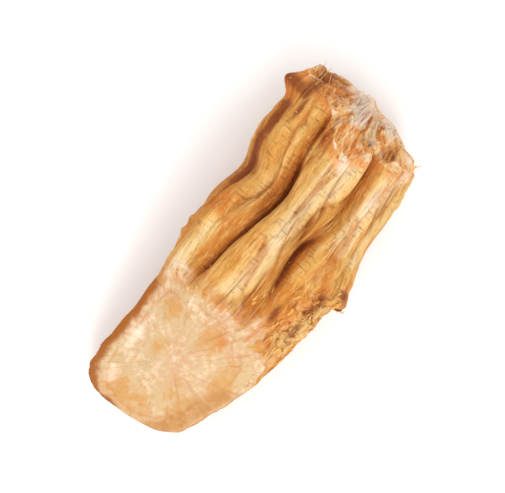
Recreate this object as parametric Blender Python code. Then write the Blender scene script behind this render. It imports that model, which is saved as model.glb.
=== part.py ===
"""A cut piece of dried white ginseng root, lying as it was dropped on a table.

Metres, +Z up. The root's length runs along X: the oblique knife cut faces -X and upwards,
the torn end faces +X. The origin is the middle of the small flat spot that it rests on.
Sizes below are in millimetres, and MM turns them into metres at the very end.
"""
from collections import namedtuple
import math

import bmesh
import bpy
import numpy as np

MM = 0.001

# Driving sizes
LENGTH = 12.7
SQUARENESS = 2.5  # of the cross section: 2 is an ellipse, more is boxier

# Edges seen from above, as (along, across)
LEFT_EDGE = ((-6.4, 2.1), (-5.0, 2.0), (-3.3, 2.03), (-0.8, 2.3), (0.8, 2.4),
             (2.3, 2.23), (3.3, 2.58), (5.0, 2.6), (6.4, 2.35))
RIGHT_EDGE = ((-6.4, -1.45), (-5.0, -1.91), (-3.2, -2.44), (-1.0, -2.84), (0.6, -2.8),
              (2.4, -2.52), (3.7, -2.42), (5.0, -2.26), (6.4, -1.9))
# Edges seen from the side, as (along, up). Where the belly is below 0 it is worn flat.
CREST = ((-6.4, 3.7), (-3.5, 4.1), (-0.5, 4.5), (1.0, 4.6), (2.4, 4.35), (4.2, 4.45), (6.4, 4.1))
BELLY = ((-6.4, 0.5), (-4.6, 0.1), (-2.4, -0.2), (2.0, -0.24), (4.4, 0.02), (6.4, 0.5))

# Furrows: path is (along, degrees round), counted from the left edge up over the top.
# Depth and width are the furrow's own, fade is the length over which its ends run out.
Furrow = namedtuple("Furrow", "path depth width fade")
FURROWS = (
    Furrow(((-2.2, 55), (-0.5, 58), (0.9, 65), (2.4, 68), (3.6, 68), (5.4, 66)), 0.52, 0.26, 0.9),
    Furrow(((-2.1, 110), (-0.4, 113), (1.3, 113), (2.7, 123), (4.0, 126), (5.9, 125)),
           0.62, 0.25, 0.8),
    Furrow(((1.7, 148), (3.0, 157), (4.3, 155), (5.8, 149)), 0.34, 0.2, 1.2),
    Furrow(((-4.0, 6), (-1.0, 10), (2.0, 16), (5.5, 8)), 0.25, 0.3, 1.0),
    Furrow(((-4.6, 207), (-1.5, 203), (2.5, 210), (6.4, 204)), 0.42, 0.28, 1.2),
    Furrow(((-3.0, 172), (-1.0, 168), (0.4, 172)), 0.26, 0.24, 0.6),
    Furrow(((-5.5, 236), (-2.0, 242), (1.5, 234), (5.8, 240)), 0.34, 0.26, 1.0),
    Furrow(((-5.8, 322), (-2.2, 316), (2.2, 324), (6.2, 315)), 0.42, 0.28, 0.9),
    Furrow(((-3.8, 344), (0.6, 338), (4.4, 346)), 0.36, 0.25, 0.8),
)

# A share of each furrow's depth is in its rounded flanks, which reach further out
FLANK = 0.35
FLANK_REACH = 2.6

# The lines of points lean and gather towards the furrows, where the bark turns most
GATHER = 0.4
GATHER_REACH = 12

# Knuckles and hollows: middle (along, degrees round), reach (along, across), height
Knob = namedtuple("Knob", "along round_at long wide height")
KNOBS = (
    Knob(0.5, 32, 1.25, 0.9, 0.16),
    Knob(2.25, 38, 0.55, 0.8, -0.24),
    Knob(5.15, 19, 0.34, 0.45, 0.42),
    Knob(3.9, 92, 1.3, 0.6, 0.12),
    Knob(-0.15, 134, 0.2, 0.34, -0.24),
    Knob(-0.85, 131, 0.2, 0.3, -0.22),
    Knob(-1.3, 152, 0.26, 0.6, -0.18),
    Knob(-1.7, 138, 1.0, 0.75, -0.38),
    Knob(-2.6, 195, 1.2, 0.7, 0.14),
    Knob(3.2, 262, 1.0, 0.8, 0.1),
    Knob(1.3, 300, 0.5, 0.5, 0.25),
    Knob(-4.2, 300, 0.6, 0.6, -0.15),
)
# The bark panel on the right edge swells slowly and then ends in a step
PANEL_ROUND_AT = 170
PANEL_SPREAD = 32
PANEL_START = 2.7
PANEL_STEP = 0.55
PANEL_STEP_LENGTH = 0.4
PANEL_HEIGHT = 0.42

# Relief fades out over this height above the flat spot
WORN_HEIGHT = 0.6

# Drying wrinkles: waves that run along the root, drawn with a fixed seed
WRINKLE_SEED = 11
WRINKLE_WAVES = 9
WRINKLE_TURNS = (5, 15)
WRINKLE_DRIFT = 0.7
WRINKLE_HEIGHT = 0.7

# The knife cut, as (up, behind its tip): a blunt lip, then a straight climb to the crest
CUT_TIP = -LENGTH / 2
CUT_PROFILE = ((0.4, 0.0), (0.95, 0.16), (1.5, 0.74), (2.9, 2.7), (4.4, 4.55))
CUT_CROWN = 0.06
CUT_CROWN_AT = -0.3
CUT_TWIST = 0.12
CUT_TWIST_FROM = 0.9

# The torn end: its top leans back, more in the middle than at the sides
TORN_TIP = LENGTH / 2 - 0.05
TORN_BOW = 0.08
TORN_BOW_AT = 0.9
TORN_LEAN_FROM = 1.8
TORN_LEAN_SIDE = 0.35
TORN_LEAN_MIDDLE = 0.42
TORN_LEAN_REACH = 1.1
# Its lumps: crossing waves, with their pitch in radians to the millimetre
LUMP_SEED = 5
LUMP_WAVES = 8
LUMP_PITCH = (2.5, 7.0)
LUMP_HEIGHT = 0.07

# Facets
AROUND = 86
ALONG = 43
CAP_RINGS = 7
SHARP_DEGREES = 40

# A rim is found by closing in on it from a first guess along the root
RIM_STEPS = 40
CUT_RIM_GUESS = -4.0
TORN_RIM_GUESS = 5.0

BARK_COLOUR = (0.78, 0.45, 0.17, 1.0)
BARK_ROUGHNESS = 0.75


def remove_everything():
    for thing in list(bpy.data.objects):
        bpy.data.objects.remove(thing, do_unlink=True)


def ease(amount):
    """A soft step: 0 below 0, 1 above 1, flat at both ends."""
    amount = np.clip(amount, 0.0, 1.0)
    return amount * amount * (3.0 - 2.0 * amount)


def bell(distance):
    """A bell curve: 1 in the middle, nearly 0 two reaches away."""
    return np.exp(-distance * distance)


def smooth_curve(x, points):
    """A curve through the points, cubic between them, with one slope at each point."""
    xs, ys = np.array(points, dtype=float).T
    slopes = np.gradient(ys, xs)
    index = np.clip(np.searchsorted(xs, x) - 1, 0, len(xs) - 2)
    span = xs[index + 1] - xs[index]
    u = np.clip((x - xs[index]) / span, 0.0, 1.0)
    rise = ease(u)
    lead = u * (1.0 - u) ** 2 * span * slopes[index]
    trail = u * u * (1.0 - u) * span * slopes[index + 1]
    return ys[index] * (1.0 - rise) + ys[index + 1] * rise + lead - trail


def across(angle, degrees, radius):
    """Distance round the section, in millimetres, from a line at so many degrees."""
    turn = angle - np.radians(degrees)
    turn = (turn + math.pi) % (2.0 * math.pi) - math.pi
    return turn * radius


def furrow_depth(furrow, angle, x, radius):
    line = smooth_curve(x, furrow.path)
    start = furrow.path[0][0]
    stop = furrow.path[-1][0]
    present = ease((x - start) / furrow.fade) * ease((stop - x) / furrow.fade)
    away = across(angle, line, radius) / furrow.width
    profile = (1.0 - FLANK) * bell(away) + FLANK * bell(away / FLANK_REACH)
    return furrow.depth * present * profile


def knob_height(knob, angle, x, radius):
    along = (x - knob.along) / knob.long
    sideways = across(angle, knob.round_at, radius) / knob.wide
    return knob.height * bell(along) * bell(sideways)


def panel_height(angle, x):
    """The right edge's bark panel: up along a slope from its start, down in a step."""
    slope = ease((PANEL_START - x) / (PANEL_START - PANEL_STEP))
    step = ease((x - PANEL_STEP) / PANEL_STEP_LENGTH + 0.5)
    turn = across(angle, PANEL_ROUND_AT, 1.0) / math.radians(PANEL_SPREAD)
    return PANEL_HEIGHT * slope * step * bell(turn)


def wrinkle_height(angle, x):
    """A sum of waves round the section whose crests drift slowly along the root."""
    draw = np.random.default_rng(WRINKLE_SEED)
    total = np.zeros(np.broadcast(angle, x).shape)
    for _ in range(WRINKLE_WAVES):
        turns = draw.integers(*WRINKLE_TURNS)
        drift = draw.uniform(-WRINKLE_DRIFT, WRINKLE_DRIFT)
        phase = draw.uniform(0.0, 2.0 * math.pi)
        total += np.cos(turns * angle + drift * x + phase) / turns
    return WRINKLE_HEIGHT * total / math.sqrt(WRINKLE_WAVES)


def lump_height(y, z):
    """The torn end's lumps: a few crossing waves over its face."""
    draw = np.random.default_rng(LUMP_SEED)
    total = np.zeros(np.broadcast(y, z).shape)
    for _ in range(LUMP_WAVES):
        heading = draw.uniform(0.0, math.pi)
        pitch = draw.uniform(*LUMP_PITCH)
        phase = draw.uniform(0.0, 2.0 * math.pi)
        total += np.cos(pitch * (y * math.cos(heading) + z * math.sin(heading)) + phase)
    return LUMP_HEIGHT * total / math.sqrt(LUMP_WAVES)


def follow_furrows(angle, x):
    """Lean a line of points to the nearest furrow's path, and gather lines around it."""
    led = angle
    for furrow in FURROWS:
        middle = sum(degrees for _, degrees in furrow.path) / len(furrow.path)
        away = np.degrees(across(angle, middle, 1.0))
        lean = smooth_curve(x, furrow.path) - middle - GATHER * away
        led = led + np.radians(lean * bell(away / GATHER_REACH))
    return led


def section_middle(x):
    """The middle of the cross section at x, as (across, up)."""
    y = (smooth_curve(x, LEFT_EDGE) + smooth_curve(x, RIGHT_EDGE)) / 2.0
    z = (smooth_curve(x, CREST) + smooth_curve(x, BELLY)) / 2.0
    return y, z


def bark(line, x):
    """The bark surface: a boxy oval, less its furrows, with the belly worn flat at 0."""
    angle = follow_furrows(line, x)
    half_width = (smooth_curve(x, LEFT_EDGE) - smooth_curve(x, RIGHT_EDGE)) / 2.0
    half_height = (smooth_curve(x, CREST) - smooth_curve(x, BELLY)) / 2.0
    wide = np.abs(np.cos(angle) / half_width) ** SQUARENESS
    high = np.abs(np.sin(angle) / half_height) ** SQUARENESS
    radius = (wide + high) ** (-1.0 / SQUARENESS)
    middle_y, middle_z = section_middle(x)

    relief = wrinkle_height(angle, x) + panel_height(angle, x)
    for furrow in FURROWS:
        relief = relief - furrow_depth(furrow, angle, x, radius)
    for knob in KNOBS:
        relief = relief + knob_height(knob, angle, x, radius)
    worn = ease((middle_z + radius * np.sin(angle)) / WORN_HEIGHT)
    radius = radius + relief * worn

    y = middle_y + radius * np.cos(angle)
    z = middle_z + radius * np.sin(angle)
    return y, np.maximum(z, 0.0)


def knife_cut(y, z):
    """Where the knife cut lies along X: its profile, twisted and crowned by drying."""
    climb = smooth_curve(z, CUT_PROFILE)
    crown = CUT_CROWN * (y - CUT_CROWN_AT) ** 2 * z
    twist = CUT_TWIST * np.maximum(CUT_TWIST_FROM - y, 0.0)
    return CUT_TIP + climb + crown + twist


def torn_end(y, z):
    """Where the torn end lies along X: bowed at its foot, its top leaning back."""
    foot = TORN_TIP - TORN_BOW * (y - TORN_BOW_AT) ** 2
    lean = TORN_LEAN_SIDE + TORN_LEAN_MIDDLE * bell(y / TORN_LEAN_REACH)
    return foot - lean * np.maximum(z - TORN_LEAN_FROM, 0.0) + lump_height(y, z)


def rim(end, line, first_guess):
    """Where each line along the bark meets an end face, found by closing in on it."""
    x = np.full(line.shape, first_guess)
    for _ in range(RIM_STEPS):
        x = 0.5 * (x + end(*bark(line, x)))
    return x


def bark_rings(line, near, far):
    """Rings of points from the knife cut to the torn end."""
    rings = []
    for step in range(ALONG + 1):
        x = near + (far - near) * step / ALONG
        rings.append(np.stack((x, *bark(line, x)), axis=1))
    return rings


def cap_rings(end, outer):
    """Rings of points on an end face, from inside its rim to just round its middle."""
    middle = outer[:, 1:].mean(axis=0)
    rings = []
    for step in range(1, CAP_RINGS):
        keep = 1.0 - step / CAP_RINGS
        y, z = (middle + (outer[:, 1:] - middle) * keep).T
        rings.append(np.stack((end(y, z), y, z), axis=1))
    return rings, (float(end(*middle)), *middle)


def join_rings(mesh, one, other):
    """Quads between two rings. They face outwards when the other ring lies towards +X."""
    count = len(one)
    for i in range(count):
        j = (i + 1) % count
        mesh.faces.new((one[i], one[j], other[j], other[i]))


def close_ring(mesh, ring, point):
    """A fan of triangles from a ring to a point. They face out when the point is at +X."""
    count = len(ring)
    for i in range(count):
        mesh.faces.new((ring[i], ring[(i + 1) % count], point))


def root_mesh():
    line = np.arange(AROUND) * 2.0 * math.pi / AROUND
    near = rim(knife_cut, line, CUT_RIM_GUESS)
    far = rim(torn_end, line, TORN_RIM_GUESS)
    body = bark_rings(line, near, far)
    cut, cut_middle = cap_rings(knife_cut, body[0])
    torn, torn_middle = cap_rings(torn_end, body[-1])

    mesh = bmesh.new()
    rings = []
    for points in cut[::-1] + body + torn:
        rings.append([mesh.verts.new([float(value) * MM for value in point]) for point in points])
    for one, other in zip(rings, rings[1:]):
        join_rings(mesh, one, other)
    close_ring(mesh, rings[-1], mesh.verts.new([value * MM for value in torn_middle]))
    close_ring(mesh, rings[0][::-1], mesh.verts.new([value * MM for value in cut_middle]))
    return mesh


def bark_material():
    material = bpy.data.materials.new("dried_root")
    material.use_nodes = True
    shader = material.node_tree.nodes["Principled BSDF"]
    shader.inputs["Base Color"].default_value = BARK_COLOUR
    shader.inputs["Roughness"].default_value = BARK_ROUGHNESS
    shader.inputs["Metallic"].default_value = 0.0
    return material


def make_root():
    data = bpy.data.meshes.new("ginseng_root")
    mesh = root_mesh()
    mesh.to_mesh(data)
    mesh.free()
    data.materials.append(bark_material())
    data.shade_smooth()
    data.set_sharp_from_angle(angle=math.radians(SHARP_DEGREES))
    root = bpy.data.objects.new("ginseng_root", data)
    bpy.context.scene.collection.objects.link(root)
    return root


remove_everything()
make_root()
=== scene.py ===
# %% [markdown]
# # A cut piece of dried white ginseng root
#
# The real thing is a stub of root about as long as a fingernail is wide. A knife cut it obliquely at
# one end and it was torn off at the other. While it dried, its flesh shrank and drew the bark into
# deep lengthwise furrows. It grew as one body, so this lesson makes one closed surface for it, with
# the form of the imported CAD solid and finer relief, and adds torn fibres, flakes and crumbs. The
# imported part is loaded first, because it is the fixed frame that every new piece has to fit.

from collections import namedtuple
from functools import reduce
import math
from types import SimpleNamespace

import bpy
import numpy as np
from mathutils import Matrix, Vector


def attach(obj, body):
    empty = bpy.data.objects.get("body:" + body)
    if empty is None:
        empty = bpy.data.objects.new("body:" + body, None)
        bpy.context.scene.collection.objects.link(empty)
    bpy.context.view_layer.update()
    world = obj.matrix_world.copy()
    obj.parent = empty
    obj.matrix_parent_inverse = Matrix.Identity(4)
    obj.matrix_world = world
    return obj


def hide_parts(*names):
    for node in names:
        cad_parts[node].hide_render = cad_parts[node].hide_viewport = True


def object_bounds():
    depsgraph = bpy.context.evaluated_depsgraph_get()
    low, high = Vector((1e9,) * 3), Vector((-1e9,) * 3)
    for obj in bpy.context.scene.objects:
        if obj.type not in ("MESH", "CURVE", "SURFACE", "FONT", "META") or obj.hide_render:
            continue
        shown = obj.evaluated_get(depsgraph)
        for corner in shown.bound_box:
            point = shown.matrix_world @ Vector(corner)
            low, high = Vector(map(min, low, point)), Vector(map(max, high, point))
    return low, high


MM = 0.001

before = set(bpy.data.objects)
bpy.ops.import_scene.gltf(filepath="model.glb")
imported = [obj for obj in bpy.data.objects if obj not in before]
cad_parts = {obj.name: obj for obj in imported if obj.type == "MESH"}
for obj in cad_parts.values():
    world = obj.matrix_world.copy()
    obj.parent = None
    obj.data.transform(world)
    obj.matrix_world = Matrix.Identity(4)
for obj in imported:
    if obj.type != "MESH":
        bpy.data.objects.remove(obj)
cad_low, cad_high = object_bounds()
print("packed nodes", list(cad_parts), "mm:", [round(side / MM, 2) for side in cad_high - cad_low])

# %% [markdown]
# ## Soft steps and smooth curves
#
# A dried root has no straight line and no hard step. Its edges could be drawn by hand and lofted, but
# then nothing finer could follow them. Here every form is a formula over whole arrays, and a soft
# step, a bell and a curve through a few points are enough to build all the others.

# %% Soft steps and smooth curves
TURN = 2.0 * math.pi


def ease(amount):
    """A soft step: 0 below 0, 1 above 1, and three squares less two cubes between."""
    amount = np.clip(amount, 0.0, 1.0)
    return amount * amount * (3.0 - 2.0 * amount)


def bell(distance):
    """A bell curve: e to the power of minus the distance squared."""
    return np.exp(-distance * distance)


def smooth_curve(x, points):
    """A cubic curve through the points, whose slope at a point is that of its neighbours."""
    xs, ys = np.array(points, dtype=float).T
    slopes = np.gradient(ys, xs)
    index = np.clip(np.searchsorted(xs, x) - 1, 0, len(xs) - 2)
    span = xs[index + 1] - xs[index]
    u = np.clip((x - xs[index]) / span, 0.0, 1.0)
    lead = u * (1.0 - u) ** 2 * span * slopes[index]
    trail = u * u * (1.0 - u) * span * slopes[index + 1]
    return ys[index] * (1.0 - ease(u)) + ys[index + 1] * ease(u) + lead - trail


def between(x, path, fade):
    """1 along a path and 0 past its ends, with a soft step of that length inside each end."""
    return ease((x - path[0][0]) / fade) * ease((path[-1][0] - x) / fade)


def across(angle, degrees, radius):
    """Distance round the section from a line at so many degrees: the turn times the radius."""
    turn = (angle - np.radians(degrees) + math.pi) % TURN - math.pi
    return turn * radius


def bell_round(angle, degrees, spread):
    """A bell of the turn from a line at so many degrees, with a spread in degrees."""
    return bell(across(angle, degrees, 1.0) / math.radians(spread))


print("soft step at a quarter:", ease(0.25), "bell at 1:", round(float(bell(1.0)), 3))

# %% [markdown]
# ## The root's own form
#
# Seen from above the root has a left and a right edge, and seen from the side a crest and a belly.
# These curves, in millimetres, are the same as in the CAD source, and so are the furrows and the
# knuckles. The flesh shrank away under a furrow, so it is a bell-shaped valley on rounded flanks,
# along a path of places on the root and degrees round it.

# %% Edges, furrows and knuckles
SQUARENESS = 2.5
LEFT_EDGE = ((-6.4, 2.1), (-5.0, 2.0), (-3.3, 2.03), (-0.8, 2.3), (0.8, 2.4),
             (2.3, 2.23), (3.3, 2.58), (5.0, 2.6), (6.4, 2.35))
RIGHT_EDGE = ((-6.4, -1.45), (-5.0, -1.91), (-3.2, -2.44), (-1.0, -2.84), (0.6, -2.8),
              (2.4, -2.52), (3.7, -2.42), (5.0, -2.26), (6.4, -1.9))
CREST = ((-6.4, 3.7), (-3.5, 4.1), (-0.5, 4.5), (1.0, 4.6), (2.4, 4.35), (4.2, 4.45), (6.4, 4.1))
BELLY = ((-6.4, 0.5), (-4.6, 0.1), (-2.4, -0.2), (2.0, -0.24), (4.4, 0.02), (6.4, 0.5))
FLANK = 0.35
FLANK_REACH = 2.6

Furrow = namedtuple("Furrow", "path depth width fade")
Knob = namedtuple("Knob", "along round_at long wide height")


def many(kind, *rows):
    """Tuples of one kind from rows of numbers."""
    return [kind(*row) for row in rows]


FURROWS = many(
    Furrow,
    (((-2.2, 55), (-0.5, 58), (0.9, 65), (2.4, 68), (3.6, 68), (5.4, 66)), 0.52, 0.26, 0.9),
    (((-2.1, 110), (-0.4, 113), (1.3, 113), (2.7, 123), (4.0, 126), (5.9, 125)), 0.62, 0.25, 0.8),
    (((1.7, 148), (3.0, 157), (4.3, 155), (5.8, 149)), 0.34, 0.2, 1.2),
    (((-4.0, 6), (-1.0, 10), (2.0, 16), (5.5, 8)), 0.25, 0.3, 1.0),
    (((-4.6, 207), (-1.5, 203), (2.5, 210), (6.4, 204)), 0.42, 0.28, 1.2),
    (((-3.0, 172), (-1.0, 168), (0.4, 172)), 0.26, 0.24, 0.6),
    (((-5.5, 236), (-2.0, 242), (1.5, 234), (5.8, 240)), 0.34, 0.26, 1.0),
    (((-5.8, 322), (-2.2, 316), (2.2, 324), (6.2, 315)), 0.42, 0.28, 0.9),
    (((-3.8, 344), (0.6, 338), (4.4, 346)), 0.36, 0.25, 0.8),
)
KNOBS = many(
    Knob,
    (0.5, 32, 1.25, 0.9, 0.16), (2.25, 38, 0.55, 0.8, -0.24), (5.15, 19, 0.34, 0.45, 0.42),
    (3.9, 92, 1.3, 0.6, 0.12), (-0.15, 134, 0.2, 0.34, -0.24), (-0.85, 131, 0.2, 0.3, -0.22),
    (-1.3, 152, 0.26, 0.6, -0.18), (-1.7, 138, 1.0, 0.75, -0.38), (-2.6, 195, 1.2, 0.7, 0.14),
    (3.2, 262, 1.0, 0.8, 0.1), (1.3, 300, 0.5, 0.5, 0.25), (-4.2, 300, 0.6, 0.6, -0.15),
)


def furrow_depth(furrow, angle, x, radius):
    """Depth times two bells of the distance to the furrow's path, a narrow and a wide one."""
    away = across(angle, smooth_curve(x, furrow.path), radius) / furrow.width
    profile = (1.0 - FLANK) * bell(away) + FLANK * bell(away / FLANK_REACH)
    return furrow.depth * between(x, furrow.path, furrow.fade) * profile


def knob_height(knob, angle, x, radius):
    """Height times a bell along the root times a bell round it."""
    sideways = across(angle, knob.round_at, radius) / knob.wide
    return knob.height * bell((x - knob.along) / knob.long) * bell(sideways)


print(len(FURROWS), "furrows and", len(KNOBS), "knuckles and hollows")

# %% [markdown]
# ## Noise on a lattice
#
# Bark isn't regular, but it isn't random either: its creases are long and narrow, its grains are
# round and its torn fibres stand up sharply. One noise serves for all of them, random heights at
# the corners of a lattice that are eased into each other. A stretched lattice makes creases, and
# noise folded at zero has sharp valleys. A sleeve of noise closes round the root and a patch of it
# lies on an end face. Each gives its height in millimetres, the size of its lumps and a fixed seed,
# so every run gives the same root.

# %% Noise on a lattice
LATTICE = 64
SHIFT = 20
FOLD = 0.7

Sleeve = namedtuple("Sleeve", "height lumps long seed")
Patch = namedtuple("Patch", "height wide high seed")


def lattice_noise(u, v, seed, around=LATTICE):
    """Random heights from -1 to 1 at whole steps of u and v, eased between them. The pattern
    comes back after `around` steps of u, so that it can close round the root."""
    heights = np.random.default_rng(seed).uniform(-1.0, 1.0, (around, LATTICE))
    column, row = np.floor(u).astype(int), np.floor(v).astype(int)
    right, up = ease(u - column), ease(v - row)

    def along_row(level):
        return (heights[column % around, level % LATTICE] * (1.0 - right)
                + heights[(column + 1) % around, level % LATTICE] * right)

    return along_row(row) * (1.0 - up) + along_row(row + 1) * up


def closed_noise(sleeve, angle, v, bend=0.0):
    """Noise with the sleeve's lumps in one turn round the root, as long as it says, bent aside."""
    turned = angle * sleeve.lumps / TURN + bend
    return lattice_noise(turned, v / sleeve.long, sleeve.seed, around=sleeve.lumps)


def face_noise(patch, y, z, bend_y=0.0, bend_z=0.0):
    """Noise on an end face, with lumps as wide and high as the patch says, bent aside."""
    return lattice_noise(y / patch.wide + bend_y + SHIFT, z / patch.high + bend_z + SHIFT, patch.seed)


def folded(noise):
    """The size of the noise to the power 0.7, less 0.7: level tops and sharp valleys."""
    return np.abs(noise) ** FOLD - FOLD


trial = lattice_noise(np.linspace(0.0, 50.0, 999), np.linspace(0.0, 9.0, 999), seed=1)
print("lattice noise spans", trial.min().round(2), "to", trial.max().round(2))

# %% [markdown]
# ## Drying wrinkles, creases and broken bark
#
# The broad wrinkles come from the CAD source. Under them the real bark has creases a few tenths of a
# millimetre apart, with round tops and sharp valleys, and faint rings across where the root shrank
# in length. On the right edge a panel of sound bark ends in a ragged step, behind which the bark has
# crumbled away. A bump in the material could show all this, but then the outline and the mesh itself
# would stay smooth, so it is real relief, in millimetres.

# %% Drying wrinkles, creases and broken bark
WRINKLE_SEED = 11
WRINKLE_WAVES = 9
WRINKLE_TURNS = (5, 15)
WRINKLE_DRIFT = 0.7
WRINKLE_HEIGHT = 0.7
PANEL_ROUND_AT = 170
PANEL_SPREAD = 32
PANEL_START = 2.7
PANEL_STEP = 0.55
PANEL_STEP_LENGTH = 0.22
PANEL_HEIGHT = 0.42
PANEL_EDGE = Sleeve(0.16, 60, 1.0, 31)
CRUMBLED_ROUND_AT = 152
CRUMBLED_SPREAD = 34
CRUMBLED_START = -2.7
CRUMBLED_FADE = 1.4
CRUMBLED_END = PANEL_STEP + 0.1
CRUMBLED_END_FADE = 0.3
GRAINS = many(Sleeve, (0.09, 58, 0.36, 25), (0.04, 120, 0.16, 26))
CREASE_BEND = Sleeve(1.0, 7, 2.1, 20)
WIDE_CREASES = Sleeve(0.2, 38, 2.4, 21)
NARROW_CREASES = Sleeve(0.1, 92, 1.3, 22)
RINGS = Sleeve(0.02, 14, 0.24, 23)
RING_PATCHES = Sleeve(1.0, 9, 1.6, 24)


def wrinkle_height(angle, x):
    """A sum of waves round the section whose crests drift slowly along the root."""
    draw = np.random.default_rng(WRINKLE_SEED)
    total = np.zeros(np.broadcast(angle, x).shape)
    for _ in range(WRINKLE_WAVES):
        turns = draw.integers(*WRINKLE_TURNS)
        drift = draw.uniform(-WRINKLE_DRIFT, WRINKLE_DRIFT)
        phase = draw.uniform(0.0, TURN)
        total += np.cos(turns * angle + drift * x + phase) / turns
    return WRINKLE_HEIGHT * total / math.sqrt(WRINKLE_WAVES)


def panel_height(angle, x, line):
    """Up along a slope from the panel's start, down in a step whose edge wanders with noise."""
    edge = PANEL_STEP + PANEL_EDGE.height * closed_noise(PANEL_EDGE, line, line * 0.0)
    slope = ease((PANEL_START - x) / (PANEL_START - PANEL_STEP))
    step = ease((x - edge) / PANEL_STEP_LENGTH + 0.5)
    return PANEL_HEIGHT * slope * step * bell_round(angle, PANEL_ROUND_AT, PANEL_SPREAD)


def crease_height(line, x):
    """Folded noise on two sleeves, with wide creases and narrow ones. A slow noise bends both,
    and the wide creases bend the narrow ones."""
    bend = closed_noise(CREASE_BEND, line, x)
    wide = closed_noise(WIDE_CREASES, line, x, 1.1 * bend)
    narrow = closed_noise(NARROW_CREASES, line, x, 1.5 * bend + 0.7 * wide)
    return WIDE_CREASES.height * folded(wide) + NARROW_CREASES.height * folded(narrow)


def ring_height(line, x):
    """Folded noise, long round the root and short along it, in patches."""
    here = ease(closed_noise(RING_PATCHES, line, x) + 0.4)
    return RINGS.height * folded(closed_noise(RINGS, line, x)) * here


def crumbled(angle, x):
    """Where the bark has crumbled: between the cut and the panel's step, on the right edge."""
    lengthwise = ease((x - CRUMBLED_START) / CRUMBLED_FADE) * ease((CRUMBLED_END - x) / CRUMBLED_END_FADE)
    return lengthwise * bell_round(angle, CRUMBLED_ROUND_AT, CRUMBLED_SPREAD)


def crumb_height(line, x):
    """Coarse and fine round grains of noise."""
    return sum(grains.height * closed_noise(grains, line, x) for grains in GRAINS)


print("creases are up to", round(FOLD * (WIDE_CREASES.height + NARROW_CREASES.height), 2), "mm deep")

# %% [markdown]
# Some creases are longer than the rest and lie where the photo shows fine dark lines between the
# furrows. They are furrows too, only a tenth of a millimetre wide, so they use the same tuple.

# %% Long fine creases
LONG_CREASES = many(
    Furrow,
    (((-1.9, 78), (-0.2, 82), (2.0, 87), (4.6, 82)), 0.11, 0.08, 0.9),
    (((-1.5, 97), (0.8, 96), (2.6, 105), (5.2, 111)), 0.15, 0.09, 0.8),
    (((-1.9, 43), (-0.2, 42), (1.9, 52), (4.9, 47)), 0.16, 0.09, 0.8),
    (((-1.2, 29), (0.8, 27), (2.8, 36), (4.6, 31)), 0.12, 0.09, 0.8),
    (((1.4, 135), (2.9, 142), (5.6, 142)), 0.15, 0.08, 0.8),
    (((-2.0, 126), (-0.6, 124), (0.7, 130), (2.2, 139)), 0.14, 0.09, 0.5),
    (((0.8, 146), (2.2, 150), (3.4, 166), (5.6, 164)), 0.12, 0.08, 0.6),
    (((-3.2, 14), (-0.4, 19), (2.6, 22)), 0.13, 0.1, 0.9),
    (((-4.6, 219), (-0.6, 222), (3.8, 219)), 0.14, 0.1, 1.0),
    (((-4.4, 190), (-1.2, 187), (2.8, 196), (5.2, 192)), 0.13, 0.1, 1.0),
    (((-4.8, 330), (-0.6, 327), (3.6, 333)), 0.14, 0.1, 1.0),
    (((-5.0, 306), (0.0, 303), (4.6, 300)), 0.13, 0.1, 1.0),
)
print(len(LONG_CREASES), "long creases")

# %% [markdown]
# ## Where rootlets broke off
#
# Rootlets break off when the root is dried and leave small round scars, a rim with a hollow in it.
# The photo shows the top only, so the scars on the sides and below are a guess. Cut with small balls
# they would have hard edges, so each is relief as well, a bell ring round a bell hollow.

# %% Scars
SCAR_RIM = 0.34
SCAR_RIM_WIDTH = 0.4
SCAR_HOLLOW = 0.6
SCAR_HOLLOW_WIDTH = 0.62

Scar = namedtuple("Scar", "along round_at size")
SCARS = many(
    Scar,
    (2.9, 30, 0.2), (-0.4, 352, 0.26), (3.6, 328, 0.34), (-2.4, 330, 0.22),
    (4.4, 186, 0.24), (-1.9, 216, 0.3), (1.9, 224, 0.2), (0.6, 276, 0.3),
)


def scar_height(scar, angle, x, radius):
    """A ring at one size from the middle, less a hollow inside it."""
    distance = np.hypot(x - scar.along, across(angle, scar.round_at, radius)) / scar.size
    ring = SCAR_RIM * bell((distance - 1.0) / SCAR_RIM_WIDTH)
    return scar.size * (ring - SCAR_HOLLOW * bell(distance / SCAR_HOLLOW_WIDTH))


print(len(SCARS), "scars, the widest", 2 * max(scar.size for scar in SCARS), "mm across")

# %% [markdown]
# ## The knife cut
#
# The blade went through at a slant, so the cut looks back and up and is longer than the root is
# thick. A Boolean could cut it, but its face would be bare of points. So the face is a graph: for
# each place (y, z) a formula gives x. The big form is that of the CAD source, a blunt lip and a
# straight climb. The flesh dried more than the bark, so it sank a little inside the rim, and the
# blade left faint marks that run up the slope.

# %% The knife cut
LENGTH = 12.7
CUT_TIP = -LENGTH / 2
CUT_PROFILE = ((0.4, 0.0), (0.95, 0.16), (1.5, 0.74), (2.9, 2.7), (4.4, 4.55))
CUT_CROWN = 0.06
CUT_CROWN_AT = -0.3
CUT_TWIST = 0.12
CUT_TWIST_FROM = 0.9
SINK = 0.05
SINK_REACH = 0.07
GROWTH_RING = 0.76
RING_SINK = 0.04
RING_SLOPE = 0.12
RIM_FADE = 0.08
FLESH_LUMPS = many(Patch, (0.07, 0.9, 0.7, 41), (0.03, 0.2, 0.16, 42))
CUT_RAYS = Sleeve(0.035, 64, 0.3, 44)
RAY_FADE = 0.4
BLADE_MARKS = Patch(0.02, 0.09, 1.8, 43)
BLADE_LEAN = (0.96, 0.28)


def knife_cut(y, z):
    """The climb from the lip, crowned across and twisted by drying."""
    climb = smooth_curve(z, CUT_PROFILE)
    crown = CUT_CROWN * (y - CUT_CROWN_AT) ** 2 * z
    return CUT_TIP + climb + crown + CUT_TWIST * np.maximum(CUT_TWIST_FROM - y, 0.0)


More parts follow.
